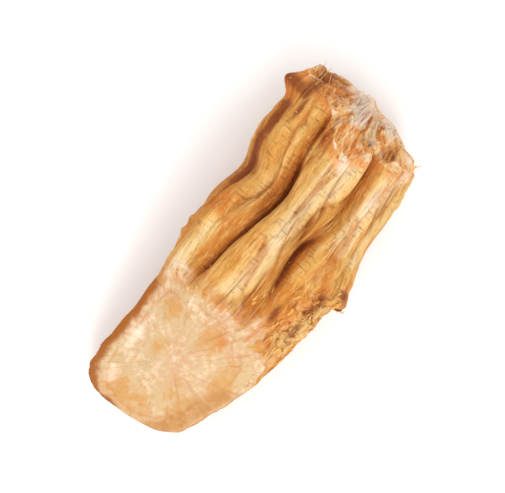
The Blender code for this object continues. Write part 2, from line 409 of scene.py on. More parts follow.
def cut_detail(y, z, keep, line):
    """How far the flesh lies behind the cut's plane: sunk inside the rim and inside the ring of
    growth, waved, pitted in rays from the middle, and scored by the blade."""
    sunk = SINK * (1.0 - bell((1.0 - keep) / SINK_REACH))
    sunk = sunk + RING_SINK * ease((GROWTH_RING - keep) / RING_SLOPE)
    grain = sum(lumps.height * face_noise(lumps, y, z) for lumps in FLESH_LUMPS)
    rays = CUT_RAYS.height * folded(closed_noise(CUT_RAYS, line, keep))
    leant = y * BLADE_LEAN[0] + z * BLADE_LEAN[1]
    scored = BLADE_MARKS.height * face_noise(BLADE_MARKS, leant, z, SHIFT)
    inside = ease((1.0 - keep) / RIM_FADE)
    return sunk + (grain + scored - rays * ease(keep / RAY_FADE)) * inside


print("the cut climbs", round(float(knife_cut(0.0, 4.4) - knife_cut(0.0, 0.4)), 2), "mm along the root")

# %% [markdown]
# ## The bark as one surface
#
# The bark is a function of two parameters: a line round the root and a place along it. The section
# is a boxy oval, a curve on which the two ratios to the half width and half height, each to the power
# of 2.5, add up to 1. The relief is added to its radius. Low down it fades out, because the root is
# worn flat where it rests. The lines gather towards the furrows, where the surface turns most.

# %% The bark as one surface
GATHER = 0.4
GATHER_REACH = 12
WORN_HEIGHT = 0.6
PLUMP = 0.05
PRESSED = 0.6
PRESSED_REACH = 0.45
SHARP_BED = 0.35
SHARP_WIDTH = 0.3
SOFTENED = 0.4
DEEP = {
    FURROWS[0]: ((-2.2, 0.5), (-0.6, 0.55), (0.6, 0.7), (1.5, 1.0), (3.0, 1.0), (3.6, 0.6), (5.4, 0.7)),
    FURROWS[1]: ((-2.1, 0.45), (-0.7, 0.5), (0.2, 1.0), (1.4, 0.95), (2.2, 0.35), (3.1, 0.45),
                 (4.2, 0.8), (5.9, 0.8)),
}


def follow_furrows(angle, x):
    """The angle, leaned to the nearest furrow's path and drawn towards it."""
    led = angle
    for furrow in FURROWS:
        middle = sum(degrees for _, degrees in furrow.path) / len(furrow.path)
        away = np.degrees(across(angle, middle, 1.0))
        lean = smooth_curve(x, furrow.path) - middle - GATHER * away
        led = led + np.radians(lean * bell(away / GATHER_REACH))
    return led


def oval(angle, x):
    """The middle of the section, as (across, up), and the boxy oval's radius round it."""
    left, right, crest, belly = (smooth_curve(x, edge) for edge in (LEFT_EDGE, RIGHT_EDGE, CREST, BELLY))
    wide = np.abs(np.cos(angle) * 2.0 / (left - right)) ** SQUARENESS
    high = np.abs(np.sin(angle) * 2.0 / (crest - belly)) ** SQUARENESS
    return (left + right) / 2.0, (crest + belly) / 2.0, (wide + high) ** (-1.0 / SQUARENESS)


def deep(furrow, x):
    """How much of a furrow's depth is there: all of it, or less where the photo shows it shallow."""
    return np.clip(smooth_curve(x, DEEP[furrow]), 0.0, 1.0) if furrow in DEEP else 1.0


def bark_relief(line, angle, x, radius):
    """All relief in two parts: the swellings, and the grooves that also stain the bark."""
    swell = panel_height(angle, x, line)
    for knob in KNOBS:
        swell = swell + knob_height(knob, angle, x, radius)
    groove = wrinkle_height(angle, x) + crease_height(line, x) + ring_height(line, x)
    for furrow in FURROWS:
        sharp = furrow._replace(depth=SHARP_BED * furrow.depth, width=SHARP_WIDTH * furrow.width)
        both = furrow_depth(furrow, angle, x, radius) + furrow_depth(sharp, angle, x, radius)
        groove = groove - deep(furrow, x) * both
    for crease in LONG_CREASES:
        groove = groove - furrow_depth(crease, angle, x, radius)
    for scar in SCARS:
        groove = groove + scar_height(scar, angle, x, radius)
    loose = crumbled(angle, x)
    groove = groove * (1.0 - SOFTENED * loose) + crumb_height(line, x) * loose
    middle_y, middle_z, oval_size = oval(angle, x)
    cut_x = knife_cut(middle_y + oval_size * np.cos(angle), middle_z + oval_size * np.sin(angle))
    return swell, groove * (1.0 - PRESSED * bell((x - cut_x) / PRESSED_REACH))


def bark(line, x):
    """The bark's (across, up) at a line round the root and a place along it."""
    angle = follow_furrows(line, x)
    middle_y, middle_z, radius = oval(angle, x)
    swell, groove = bark_relief(line, angle, x, radius)
    worn = ease((middle_z + radius * np.sin(angle)) / WORN_HEIGHT)
    radius = radius + (swell + groove + PLUMP) * worn
    return middle_y + radius * np.cos(angle), np.maximum(middle_z + radius * np.sin(angle), 0.0)


probe = np.linspace(0.0, TURN, 2000)
probe_y, probe_z = bark(probe, np.full(probe.shape, 1.0))
print("section at x = 1 mm is", np.ptp(probe_y).round(2), "wide and", np.ptp(probe_z).round(2), "high")

# %% [markdown]
# ## The torn end
#
# The other end was pulled off, and its fibres broke at different lengths, in strands that run in rays
# from a soft pith. Thousands of separate fibres would cost more faces than the root may have, so
# this face is a graph too. Folded noise cuts the creases between bundles and the threads, soft steps
# and a random number for each strand give the lengths, and three pits show where bundles came out.

# %% The torn end
TORN_TIP = LENGTH / 2 - 0.05
TORN_BOW = 0.08
TORN_BOW_AT = 0.9
TORN_LEAN_FROM = 1.8
TORN_LEAN_SIDE = 0.35
TORN_LEAN_MIDDLE = 0.42
TORN_LEAN_REACH = 1.1
LUMP_SEED = 5
LUMP_WAVES = 8
LUMP_PITCH = (2.5, 7.0)
LUMP_HEIGHT = 0.07
PITH_AT = (0.15, 1.1)
PITH_REACH = 1.0
STRAND_SEED = 55
STRAND_RAYS = 120
STRAND_LONG = 0.42
STRAND_SWAY = Patch(1.3, 0.45, 0.45, 56)
FINE_SWAY = Patch(0.5, 0.14, 0.14, 57)
STRAND_HEIGHT = 0.09
THREADS = Sleeve(0.1, 108, 1.1, 52)
BUNDLE_BEND = Patch(1.0, 0.9, 0.8, 50)
BUNDLES = Patch(0.15, 0.5, 1.1, 51)
BREAKS = Patch(0.12, 0.5, 0.9, 53)
TORN_RIM_FADE = 0.15

Pit = namedtuple("Pit", "y z size depth")
PITS = many(Pit, (-0.2, 3.95, 0.24, 0.3), (0.8, 3.9, 0.34, 0.26), (-1.2, 3.1, 0.3, 0.24))


def lump_height(y, z):
    """A few crossing waves over the face, as in the CAD source."""
    draw = np.random.default_rng(LUMP_SEED)
    total = np.zeros(np.broadcast(y, z).shape)
    for _ in range(LUMP_WAVES):
        heading = draw.uniform(0.0, math.pi)
        pitch = draw.uniform(*LUMP_PITCH)
        phase = draw.uniform(0.0, TURN)
        total += np.cos(pitch * (y * math.cos(heading) + z * math.sin(heading)) + phase)
    return LUMP_HEIGHT * total / math.sqrt(LUMP_WAVES)


def torn_end(y, z):
    """The face's foot, bowed, with its top leaning back, more in the middle than at the sides."""
    foot = TORN_TIP - TORN_BOW * (y - TORN_BOW_AT) ** 2
    lean = TORN_LEAN_SIDE + TORN_LEAN_MIDDLE * bell(y / TORN_LEAN_REACH)
    return foot - lean * np.maximum(z - TORN_LEAN_FROM, 0.0) + lump_height(y, z)


def from_pith(y, z):
    """The angle round the pith and the distance from it."""
    sideways, up = y - PITH_AT[0], z - PITH_AT[1]
    return np.arctan2(up, sideways) % TURN, np.hypot(sideways, up)


def strand_ends(y, z):
    """Random numbers from -1 to 1, one for each strand: the strands lie in rays from the pith,
    half as many near it, swayed by noise, and each ray breaks at places of its own."""
    angle, distance = from_pith(y, z)
    draw = np.random.default_rng(STRAND_SEED)
    shift = draw.uniform(0.0, LATTICE, STRAND_RAYS)
    ends = draw.uniform(-1.0, 1.0, (STRAND_RAYS, LATTICE))
    fine = lattice_noise(y / FINE_SWAY.wide, z / FINE_SWAY.high, FINE_SWAY.seed)
    sway = STRAND_SWAY.height * face_noise(STRAND_SWAY, y, z) + FINE_SWAY.height * fine
    rays = np.where(distance > PITH_REACH, STRAND_RAYS, STRAND_RAYS // 2)
    ray = np.floor(angle * rays / TURN + sway).astype(int) % rays
    place = np.floor(distance / STRAND_LONG + shift[ray] + 0.4 * sway).astype(int) % LATTICE
    return ends[ray, place]


def torn_detail(y, z, keep):
    """How far bundles and strands stand out: creases run up the face between bundles, steps show
    where they broke at different lengths, and each strand adds threads and a length of its own,
    but not near the soft pith, less the pits. All fade in at the rim."""
    bend = face_noise(BUNDLE_BEND, y, z)
    bundle = folded(face_noise(BUNDLES, y, z, bend))
    steps = ease(1.8 * face_noise(BREAKS, y, z, 0.0, 0.8 * bend) + 0.5)
    angle, distance = from_pith(y, z)
    threads = folded(closed_noise(THREADS, angle, distance, 1.5 * bend))
    strands = THREADS.height * threads + STRAND_HEIGHT * strand_ends(y, z)
    strands = strands * ease(distance / PITH_REACH - 0.2)
    out = BUNDLES.height * bundle + BREAKS.height * (steps - 1.0) + strands
    for pit in PITS:
        out = out - pit.depth * bell(np.hypot(y - pit.y, z - pit.z) / pit.size)
    return out * ease((1.0 - keep) / TORN_RIM_FADE)


print("the torn end's top lies", round(float(torn_end(0, 1.8) - torn_end(0, 4.4)), 2), "mm back")

# %% [markdown]
# ## One closed surface
#
# The surface is a grid again: rows of points that start at the middle of the cut, run out to its rim,
# along the bark to the torn end, and in to its middle. Where a bark line meets an end is found by
# stepping half way towards it many times. The points stand closer together on top, where the camera
# looks. The rows are joined by quads, and a fan closes each end, so the mesh is watertight.

# %% The rows of points
AROUND = 404
ALONG = 156
CUT_ROWS = 28
TORN_ROWS = 56
RIM_STEPS = 60
CROWDING = 1.25
CLOSER_ON_TOP = 0.3


def rim(end, line, first_guess):
    """Where each line along the bark meets an end face: half way there, many times."""
    x = np.full(line.shape, first_guess)
    for _ in range(RIM_STEPS):
        x = 0.5 * (x + end(*bark(line, x)))
    return x


def cap(outer, rows, face):
    """Rows inside a rim, each the rim drawn towards its middle, and the middle itself."""
    middle = outer[:, 1:].mean(axis=0)
    keep = 1.0 - (np.arange(1, rows + 1) / rows) ** CROWDING
    y, z = np.moveaxis(middle + (outer[None, :, 1:] - middle) * keep[:, None, None], -1, 0)
    return np.stack((face(y, z, keep[:, None]), y, z), axis=-1), keep


spread = np.arange(AROUND) * TURN / AROUND
line = spread + CLOSER_ON_TOP * np.cos(spread)
near = rim(knife_cut, line, first_guess=-4.0)
far = rim(torn_end, line, first_guess=5.0)
share = (np.arange(ALONG + 1) / ALONG)[:, None]
bark_x = near + (far - near) * share
bark_rows = np.stack((bark_x, *bark(line + 0.0 * bark_x, bark_x)), axis=-1)

cut_rows, cut_keep = cap(bark_rows[0], CUT_ROWS,
                         lambda y, z, keep: knife_cut(y, z) + cut_detail(y, z, keep, line))
torn_rows, torn_keep = cap(bark_rows[-1], TORN_ROWS,
                           lambda y, z, keep: torn_end(y, z) + torn_detail(y, z, keep))
cut_middle, cut_rows = cut_rows[-1, 0], cut_rows[:-1][::-1]
torn_middle, torn_rows = torn_rows[-1, 0], torn_rows[:-1]
rows = np.concatenate((cut_rows, bark_rows, torn_rows))
first_bark, last_bark = len(cut_rows), len(cut_rows) + ALONG
print("rows x points:", rows.shape[:2], "rims at x", near.min().round(2), near.max().round(2),
      far.min().round(2), far.max().round(2))

# %% [markdown]
# The faces come from index arithmetic: the quad beside point (row, column) takes its neighbour in
# the row and the same two in the next row. The root then rides on its body and stands for the CAD
# solid.

# %% Mesh from a closed grid
SHARP_DEGREES = 50


def grid_faces(row_count, column_count):
    """Quads between the rows of a grid that closes on itself in the other direction."""
    row = np.arange(row_count - 1)[:, None] * column_count
    column = np.arange(column_count)[None, :]
    beside = (column + 1) % column_count
    next_row = row + column_count
    return np.stack((row + column, row + beside, next_row + beside, next_row + column), -1).reshape(-1, 4)


def fan_faces(ring, point):
    """Triangles from each edge of a ring of indices to one point."""
    return np.stack((ring, np.roll(ring, -1), np.full(len(ring), point)), axis=-1)


def show(name, data):
    """A new object at the origin, in the scene."""
    shown = bpy.data.objects.new(name, data)
    bpy.context.scene.collection.objects.link(shown)
    return shown


def new_object(name, points, quads, triangles):
    """An object whose mesh holds the points, in millimetres, and the faces."""
    data = bpy.data.meshes.new(name)
    data.from_pydata((points * MM).tolist(), [], quads.tolist() + triangles.tolist())
    data.validate()
    data.shade_smooth()
    print(f"{name}: {len(points)} points, {2 * len(quads) + len(triangles)} triangles")
    return show(name, data)


count = rows.shape[0] * AROUND
points = np.concatenate((rows.reshape(-1, 3), [cut_middle, torn_middle]))
ends = np.concatenate((fan_faces(np.arange(AROUND)[::-1], count),
                       fan_faces(np.arange(count - AROUND, count), count + 1)))
root = new_object("root", points, grid_faces(rows.shape[0], AROUND), ends)
root.data.set_sharp_from_angle(angle=math.radians(SHARP_DEGREES))
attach(root, "root")
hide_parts("ginseng_root")
print("root spans, mm:", points.min(axis=0).round(2), points.max(axis=0).round(2))

# %% [markdown]
# ## Stains, painted shade and painted highlights
#
# The colour of a dried root follows its history. Sap dried in the furrows and left them orange to dark
# brown, and painted shade darkens their hollows further. The ridges are paler, with painted highlights.
# The cut shows cream flesh inside a brown line of bark, and the torn end is stained in some places and
# bleached in others, with painted light on its fibres and its middle. A picture could be painted on the
# mesh, but a formula is easier to change: each stain, painted shade and painted highlight is a mask from
# 0 to 1 at every point, worked out from the relief and from listed marks. A mark is a bell again: a
# stroke along a path of x and y, a dab in one place, or a bed that follows a furrow.

# %% Strokes, dabs and beds
Stroke = namedtuple("Stroke", "path width fade strength")
Dab = namedtuple("Dab", "x y long wide strength")
Bed = namedtuple("Bed", "furrow reach strengths")


def from_above(z, low=1.6, high=2.8):
    """1 on the upper side, 0 low down, so that a mark from above doesn't run down the flank."""
    return ease((z - low) / (high - low))


def strongest(masks):
    """The highest of several masks at each point."""
    return reduce(np.maximum, masks)


def strokes(several, x, y):
    """Bells across paths y of x, faded at their ends."""
    return strongest(stroke.strength * between(x, stroke.path, stroke.fade)
                     * bell((y - smooth_curve(x, stroke.path)) / stroke.width) for stroke in several)


def dabs(several, x, y):
    """Bells of the distance from the dabs' middles."""
    return strongest(dab.strength * bell(np.hypot((x - dab.x) / dab.long, (y - dab.y) / dab.wide))
                     for dab in several)


def spots(several, angle, x, radius):
    """Spots on the bark, which have the shape of low knuckles."""
    return strongest(knob_height(spot, angle, x, radius) for spot in several)


def beds(several, angle, x, radius):
    """Bells across furrows, each given by its number, as strong as a curve along it says."""
    return strongest(np.clip(smooth_curve(x, bed.strengths), 0.0, 1.0)
                     * bell(across(angle, smooth_curve(x, FURROWS[bed.furrow].path), radius) / bed.reach)
                     for bed in several)


print("a dab's mask one length from its middle:", dabs([Dab(0.0, 0.0, 1.0, 1.0, 1.0)], 1.0, 0.0).round(2))

# %% [markdown]
# The marks are given in millimetres on the root: painted highlights along the ridges, amber and
# red-brown stains, chalky places that are partly bleached and partly painted highlights, golden clouds
# on the cut, painted shade along the left edge, beside the hook and under the panel's step, and the tan
# lip. The columns are those of the tuples above. What the photo can't show, low on the sides, is a
# guess.

# %% Where each stain, painted shade and painted highlight lies
# Painted highlights along the ridges.
RIDGE_HIGHLIGHTS = many(
    Stroke,
    (((-1.7, 0.1), (-0.4, -0.2), (0.8, -0.2), (1.8, -0.15), (3.2, -0.3), (4.9, -0.3)), 0.5, 0.6, 1.1),
    (((2.7, -0.5), (3.6, -0.65), (5.2, -0.75)), 0.36, 0.4, 1.1),
    (((-2.6, 1.65), (-0.8, 1.75), (1.0, 1.6)), 0.3, 1.0, 0.9),
    (((0.2, 1.4), (2.0, 1.25), (3.1, 1.2), (5.0, 1.4)), 0.26, 1.2, 0.55),
    (((1.5, -1.9), (2.3, -1.85), (3.2, -1.8), (5.8, -1.8)), 0.36, 0.5, 1.4),
    (((0.2, -1.75), (0.9, -1.85), (1.8, -1.9)), 0.2, 0.4, 0.8),
    (((1.4, -2.5), (2.6, -2.4), (5.8, -2.3)), 0.25, 0.6, 0.9),
)
AMBER = many(
    Stroke,
    # This stroke paints shade along the left edge.
    (((0.2, 2.1), (1.4, 2.05), (2.3, 1.95), (3.4, 2.3), (5.4, 2.3)), 0.24, 0.5, 0.8),
    (((-2.3, -1.35), (-1.4, -1.5), (-0.4, -1.35), (0.4, -1.5)), 0.09, 0.3, 0.8),
    (((-2.0, -2.05), (-1.2, -2.1), (-0.3, -1.95), (0.3, -2.05)), 0.09, 0.3, 0.8),
)
AMBER_DABS = many(
    Dab,
    # The dab at (1.2, 1.75) paints shadow on the knuckle's top by the left edge.
    (4.5, 0.75, 0.5, 0.3, 0.9), (5.35, -1.15, 0.4, 0.24, 1.0), (1.2, 1.75, 0.6, 0.3, 0.6),
    (-1.3, 1.05, 0.3, 0.3, 0.9), (-1.65, -0.15, 0.3, 0.2, 0.85), (-1.4, -0.85, 0.5, 0.26, 0.9),
    (-2.5, -0.85, 0.35, 0.3, 0.7), (-1.15, -1.75, 0.4, 0.3, 0.8), (0.1, -2.35, 0.6, 0.3, 1.2),
    # The dab at (0.7, -2.3) paints shadow under the panel's step.
    (-0.8, -2.35, 0.7, 0.25, 0.9), (0.7, -2.3, 0.4, 0.3, 0.9), (5.85, 1.5, 0.6, 0.8, 1.2),
    (-5.3, -1.35, 0.3, 0.2, 0.5),
)
RUST_AND_SHADE_SPOTS = many(
    Knob,
    # The spots at 0.62 and 1.0 mm paint shadow under the panel's step.
    (5.2, 27, 0.32, 0.75, 1.0), (0.62, 174, 0.26, 0.5, 1.0), (1.0, 158, 0.22, 0.4, 1.0),
    # The spot at 2.2 mm, 26 degrees round, paints shade on the left edge.
    (2.2, 26, 0.55, 0.22, 0.75), (0.6, 24, 0.5, 0.16, 0.5), (5.7, 40, 0.4, 0.2, 0.6),
    (-3.2, 184, 0.5, 0.2, 0.6), (2.6, 236, 0.5, 0.25, 0.7), (-1.4, 268, 0.6, 0.3, 0.6),
    (3.4, 304, 0.5, 0.2, 0.7), (-2.2, 350, 0.4, 0.2, 0.6),
)
RUST_AND_SHADE_DABS = many(
    Dab,
    (-0.8, -1.57, 0.45, 0.14, 1.05), (-1.6, -1.85, 0.25, 0.08, 0.8), (-0.2, -1.9, 0.3, 0.08, 0.8),
    # The dab at (0.45, -2.4) paints shadow under the panel's step.
    (-1.1, -2.35, 0.3, 0.08, 0.7), (0.45, -2.4, 0.4, 0.3, 0.85), (0.0, -2.4, 0.6, 0.2, 0.8),
    (-0.8, -2.4, 0.5, 0.2, 0.8), (4.45, 0.68, 0.65, 0.17, 0.85), (5.2, -0.5, 0.22, 0.36, 0.85),
    # The dab at (4.7, 1.85) paints the hook's shadow.
    (5.1, 0.7, 0.3, 0.28, 0.8), (4.7, 1.85, 0.75, 0.13, 0.85), (5.25, 2.05, 0.4, 0.32, 1.1),
    (5.4, -1.35, 0.4, 0.16, 0.95), (5.95, 1.9, 0.35, 0.5, 1.0), (5.5, 1.95, 0.45, 0.35, 1.0),
    (5.4, 1.1, 0.4, 0.2, 0.7), (5.95, 1.3, 0.35, 0.4, 0.7), (-6.27, 0.75, 0.15, 0.6, 0.8),
    (-2.9, 1.98, 0.35, 0.1, 0.85),
)
# Chalky places, partly bleached, partly painted highlights on the torn end's fibres and the middle
# ridge's end.
CHALK_AND_HIGHLIGHT_DABS = many(
    Dab,
    (6.15, 0.35, 0.5, 0.75, 1.4), (5.65, 0.15, 0.35, 0.35, 1.2), (6.1, -0.6, 0.4, 0.6, 1.2),
    (4.75, -0.65, 0.25, 0.2, 0.7), (4.05, -0.35, 0.45, 0.3, 0.8), (-1.6, 1.65, 0.5, 0.4, 0.7),
    (5.6, -1.75, 0.4, 0.3, 0.7), (-4.1, 1.35, 0.6, 0.3, 0.8), (-5.5, 1.2, 0.5, 0.4, 0.7),
    (-4.4, 0.2, 0.5, 0.24, 0.5), (-3.4, -1.2, 0.4, 0.24, 0.5), (4.4, -0.55, 0.3, 0.3, 0.6),
    (3.7, -1.75, 1.0, 0.25, 0.65), (5.1, -2.05, 0.45, 0.25, 0.8), (-2.2, 0.6, 0.35, 0.35, 0.6),
)
GOLDEN_DABS = many(
    Dab,
    (-2.6, 0.9, 0.5, 0.5, 0.7), (-2.7, -0.6, 0.5, 0.5, 0.7), (-3.3, -1.7, 0.6, 0.4, 0.9),
    (-4.8, -0.6, 0.6, 0.4, 0.6), (-3.9, 0.6, 0.4, 0.3, 0.5), (-5.8, 0.4, 0.5, 0.9, 0.9),
    (-5.0, -1.1, 0.5, 0.4, 0.7),
)
# Painted shade: a dark line along the left edge, on the side away from the lamp.
SHADED_EDGE = many(Stroke, (((1.2, 2.2), (1.7, 2.05), (2.25, 1.9), (3.0, 2.22), (3.8, 2.28), (4.9, 2.3)),
                     0.2, 0.4, 1.0))
LIP = many(Stroke, (((-6.6, -0.3), (-5.7, -1.2), (-4.7, -1.6), (-3.4, -2.15)), 0.46, 0.5, 1.15))
AMBER_BEDS = many(
    Bed,
    (0, 0.2, ((-2.2, 0.3), (-1.0, 1.0), (3.2, 1.0), (3.7, 0.4), (4.4, 0.9), (5.6, 0.4))),
    (1, 0.2, ((-2.2, 0.5), (0.0, 1.0), (1.6, 0.9), (2.3, 0.2), (3.1, 0.4), (4.2, 0.9), (6.2, 0.9))),
    (2, 0.16, ((1.5, 0.0), (2.6, 0.9), (3.3, 0.9), (3.7, 0.4), (4.2, 0.9), (5.8, 0.6))),
    (3, 0.24, ((-4.0, 0.2), (0.0, 0.9), (5.0, 0.6))),
    (4, 0.28, ((-4.6, 0.4), (-1.0, 0.9), (6.0, 0.7))),
    (6, 0.28, ((-5.0, 0.4), (0.0, 0.8), (6.0, 0.7))),
    (7, 0.28, ((-5.0, 0.5), (0.0, 0.9), (6.0, 0.6))),
    (8, 0.26, ((-4.0, 0.4), (0.0, 0.9), (5.0, 0.6))),
)
RUST_AND_SHADE_BEDS = many(
    Bed,
    (0, 0.12, ((-2.0, 0.0), (-0.9, 0.6), (0.8, 0.7), (1.6, 0.9), (3.1, 0.8), (3.7, 0.0), (4.5, 0.4),
               (5.2, 0.2))),
    (1, 0.1, ((-1.6, 0.0), (-0.8, 0.2), (0.2, 0.8), (1.5, 0.8), (1.9, 0.1), (4.4, 0.1), (5.3, 0.6))),
    # The bed on furrow 3 paints shade along the left edge.
    (3, 0.34, ((0.2, 0.2), (2.2, 0.8), (4.8, 0.8), (5.5, 0.3))),
    (4, 0.14, ((-4.0, 0.0), (-1.5, 0.9), (2.0, 0.4), (5.0, 0.8))),
    (6, 0.14, ((-5.0, 0.2), (0.0, 0.7), (5.0, 0.4))),
    (7, 0.14, ((-5.0, 0.3), (-2.0, 0.9), (3.0, 0.5), (6.0, 0.8))),
    (8, 0.12, ((-3.0, 0.2), (1.0, 0.8), (4.0, 0.3))),
)
print(len(AMBER_DABS) + len(RUST_AND_SHADE_DABS) + len(CHALK_AND_HIGHLIGHT_DABS) + len(GOLDEN_DABS), "dabs placed")

# %% [markdown]
# The masks need to know of each point which face it is on, how near the rim it is, how deep it lies
# in the relief and whether it is seen from above. Whatever follows the bark is worked out on its
# grid of rows and then put among the points of the two ends.

# %% What each point knows
flat_x, flat_y, flat_z = points.T
flat = (flat_x, flat_y)
row_of = np.concatenate((np.repeat(np.arange(rows.shape[0]), AROUND), [0, rows.shape[0] - 1]))
on_cut = (row_of < first_bark).astype(float)
on_torn = (row_of > last_bark).astype(float)
on_bark = (1.0 - on_cut) * (1.0 - on_torn)
keep_of = np.concatenate((cut_keep[:-1][::-1], np.ones(ALONG + 1), torn_keep[:-1]))[row_of]
bark_line = line + 0.0 * bark_x
bark_angle = follow_furrows(bark_line, bark_x)
bark_place = (bark_angle, bark_x, oval(bark_angle, bark_x)[2])


def on_every_point(bark_values):
    """Values on the bark's rows put among zeros for the two ends."""
    mask = np.zeros(len(points))
    mask[first_bark * AROUND:(last_bark + 1) * AROUND] = bark_values.ravel()
    return mask


groove = on_every_point(bark_relief(bark_line, *bark_place)[1])
creased = on_every_point(crease_height(bark_line, bark_x))
standing = torn_detail(flat_y, flat_z, keep_of) * on_torn
ray_angle, pith_distance = from_pith(flat_y, flat_z)
seen = strongest((on_cut, from_above(flat_z), on_torn * from_above(flat_z, 0.8, 1.8)))
behind_cut = flat_x - knife_cut(flat_y, flat_z)
before_torn = on_every_point(far - bark_x)
left_side = ease((flat_y - 0.9) / 0.6)
along_left = ease((-2.3 - flat_x) / 0.7) * ease((flat_x + 5.9) / 1.2) * left_side
print("points on the cut, the bark and the torn end:",
      [int(face.sum()) for face in (on_cut, on_bark, on_torn)])

# %% [markdown]
# With that, each stain, painted shade and painted highlight is one formula. The line of bark round the
# cut is wider on the left side, where the flesh near the rim is also amber and the bark beside it darker.
# Hollows darken with painted shade as well as stain, crests are paler with painted highlights, and high
# on the rim the colours of flesh and bark run into each other.

# %% The masks
SKIN_WIDTH = 0.022
SKIN_WIDER_LEFT = 0.15
SKIN_ON_BARK = 0.12
DARKER_LEFT_REACH = 0.5
HALO_WIDTH = 0.16
GROWTH_RING_WIDTH = 0.035

from_rim = 1.0 - keep_of
skin_line = np.where(on_cut > 0.5, bell(from_rim / (SKIN_WIDTH + SKIN_WIDER_LEFT * left_side)),
                     bell(behind_cut / SKIN_ON_BARK))
skin_line = skin_line * (1.0 - 0.85 * from_above(flat_z, 2.9, 3.7)) * (1.0 - 0.4 * ease(-flat_y / 1.5))
crossing = np.where(on_cut > 0.5, bell(from_rim / 0.2), bell(behind_cut / 0.6))
crossing = crossing * from_above(flat_z, 2.2, 3.4)
# Darker bark beside the cut on its left side.
darker_left_of_cut = on_bark * along_left * bell(behind_cut / DARKER_LEFT_REACH)
# Amber flesh near the rim on the left side.
halo = on_cut * along_left * bell(from_rim / HALO_WIDTH)
edge_shade = on_bark * from_above(flat_z, 1.9, 2.7) * strokes(SHADED_EDGE, *flat)

masks = {
    "flesh": on_cut + 0.5 * crossing * (1.0 - 2.0 * on_cut),
    "cortex": on_cut * ease((keep_of - 0.5) / 0.2),
    "torn": np.where(on_torn > 0.5, 0.5 + 0.5 * ease(from_rim / 0.25),
                     0.5 * bell(before_torn / 0.5) * (1.0 - on_cut)),
    # Painted shade in the hollows of the relief, as well as their stain.
    "groove": on_bark * ease(-(groove + 0.1) / 0.45) + on_torn * ease(-(standing + 0.1) / 0.3),
    # Painted highlights on the crests of the relief.
    "crest": on_bark * ease((groove + 0.06) / 0.14) + on_torn * ease((standing + 0.1) / 0.2),
    # Painted shade in the creases' valleys, as well as their streaks.
    "crease": on_bark * ease(-(creased + 0.06) / 0.1),
    # Painted highlights along the ridges.
    "bright": on_bark * seen * strokes(RIDGE_HIGHLIGHTS, *flat),
    # Stains, with painted shade along the left edge and under the panel's step.
    "amber": strongest((seen * strokes(AMBER, *flat), seen * dabs(AMBER_DABS, *flat),
                        halo + on_every_point(beds(AMBER_BEDS, *bark_place)))),
    # Stains, with painted shade along the left edge, beside the hook and under the panel's step.
    "rust": strongest((on_every_point(spots(RUST_AND_SHADE_SPOTS, *bark_place)), seen * dabs(RUST_AND_SHADE_DABS, *flat),
                       edge_shade, on_every_point(beds(RUST_AND_SHADE_BEDS, *bark_place)), darker_left_of_cut)),
    # Chalky places, partly painted highlights.
    "chalk": seen * dabs(CHALK_AND_HIGHLIGHT_DABS, *flat),
    "pith": on_torn * ease(1.2 - pith_distance / PITH_REACH),
    "golden": on_cut * dabs(GOLDEN_DABS, *flat),
    "loose": on_every_point(crumbled(bark_angle, bark_x)),
    "skin_line": skin_line,
    "growth_ring": on_cut * bell((keep_of - GROWTH_RING) / GROWTH_RING_WIDTH),
    "lip": on_cut * strokes(LIP, *flat),
    "strand": on_torn * (0.5 + 0.5 * strand_ends(flat_y, flat_z)),
}
for mask_name, mask in masks.items():
    attribute = root.data.attributes.new(mask_name, "FLOAT", "POINT")
    attribute.data.foreach_set("value", np.clip(mask, 0.0, 1.0).astype(np.float32))
    print(f"{mask_name}: mean {mask.mean():.3f}, most {mask.max():.2f}")

# %% [markdown]
# Streaks have to run along the furrows and close round the root, and a picture laid on by a map
# would show a seam. So each point also keeps a place on a plain drum: the cosine and the sine of its
# line, times the root's radius, and its distance along the root. Solid noise read at that place flows
# with the bark, has no seam, and draws together into rays on the cut and round the pith.

# %% Places for the streaks
DRUM_RADIUS = 2.4

turned = np.where(on_torn > 0.5, ray_angle, np.concatenate((np.tile(line, rows.shape[0]), [0, 0])))
drum = np.stack((DRUM_RADIUS * np.cos(turned), DRUM_RADIUS * np.sin(turned), flat_x), axis=-1)
flow = root.data.attributes.new("flow", "FLOAT_VECTOR", "POINT")
flow.data.foreach_set("vector", drum.astype(np.float32).ravel())
print("drum spans", drum.min(axis=0).round(2), "to", drum.max(axis=0).round(2))

# %% [markdown]
# ## Shader maths as Python
#
# A material is a graph of nodes, and long graphs are hard to read as calls that add and link nodes.
# A small class wraps a node's output, so that `1 - mask` or `streak * 0.3 + base` writes the Math
# nodes itself. Colours and vectors go through their own nodes, and every other node comes from one
# method that takes its type, its settings and what goes into its sockets.

# %% A socket that can be calculated with
def operator(operation, turned=False):
    """A method that adds a Math node for the operation, with its two terms swapped if turned."""
    def method(self, other=0.0):
        terms = (other, self) if turned else (self, other)
        return self.finish.node("ShaderNodeMath", {"operation": operation}, dict(enumerate(terms)))
    return method


class Value:
    """The output of a node of a finish. Python's operators on it add Math nodes."""

    def __init__(self, finish, socket):
        self.finish = finish
        self.socket = socket

    __add__ = operator("ADD")
    __radd__ = operator("ADD", turned=True)
    __sub__ = operator("SUBTRACT")
    __rsub__ = operator("SUBTRACT", turned=True)
    __mul__ = operator("MULTIPLY")
    __rmul__ = operator("MULTIPLY", turned=True)
    __abs__ = operator("ABSOLUTE")


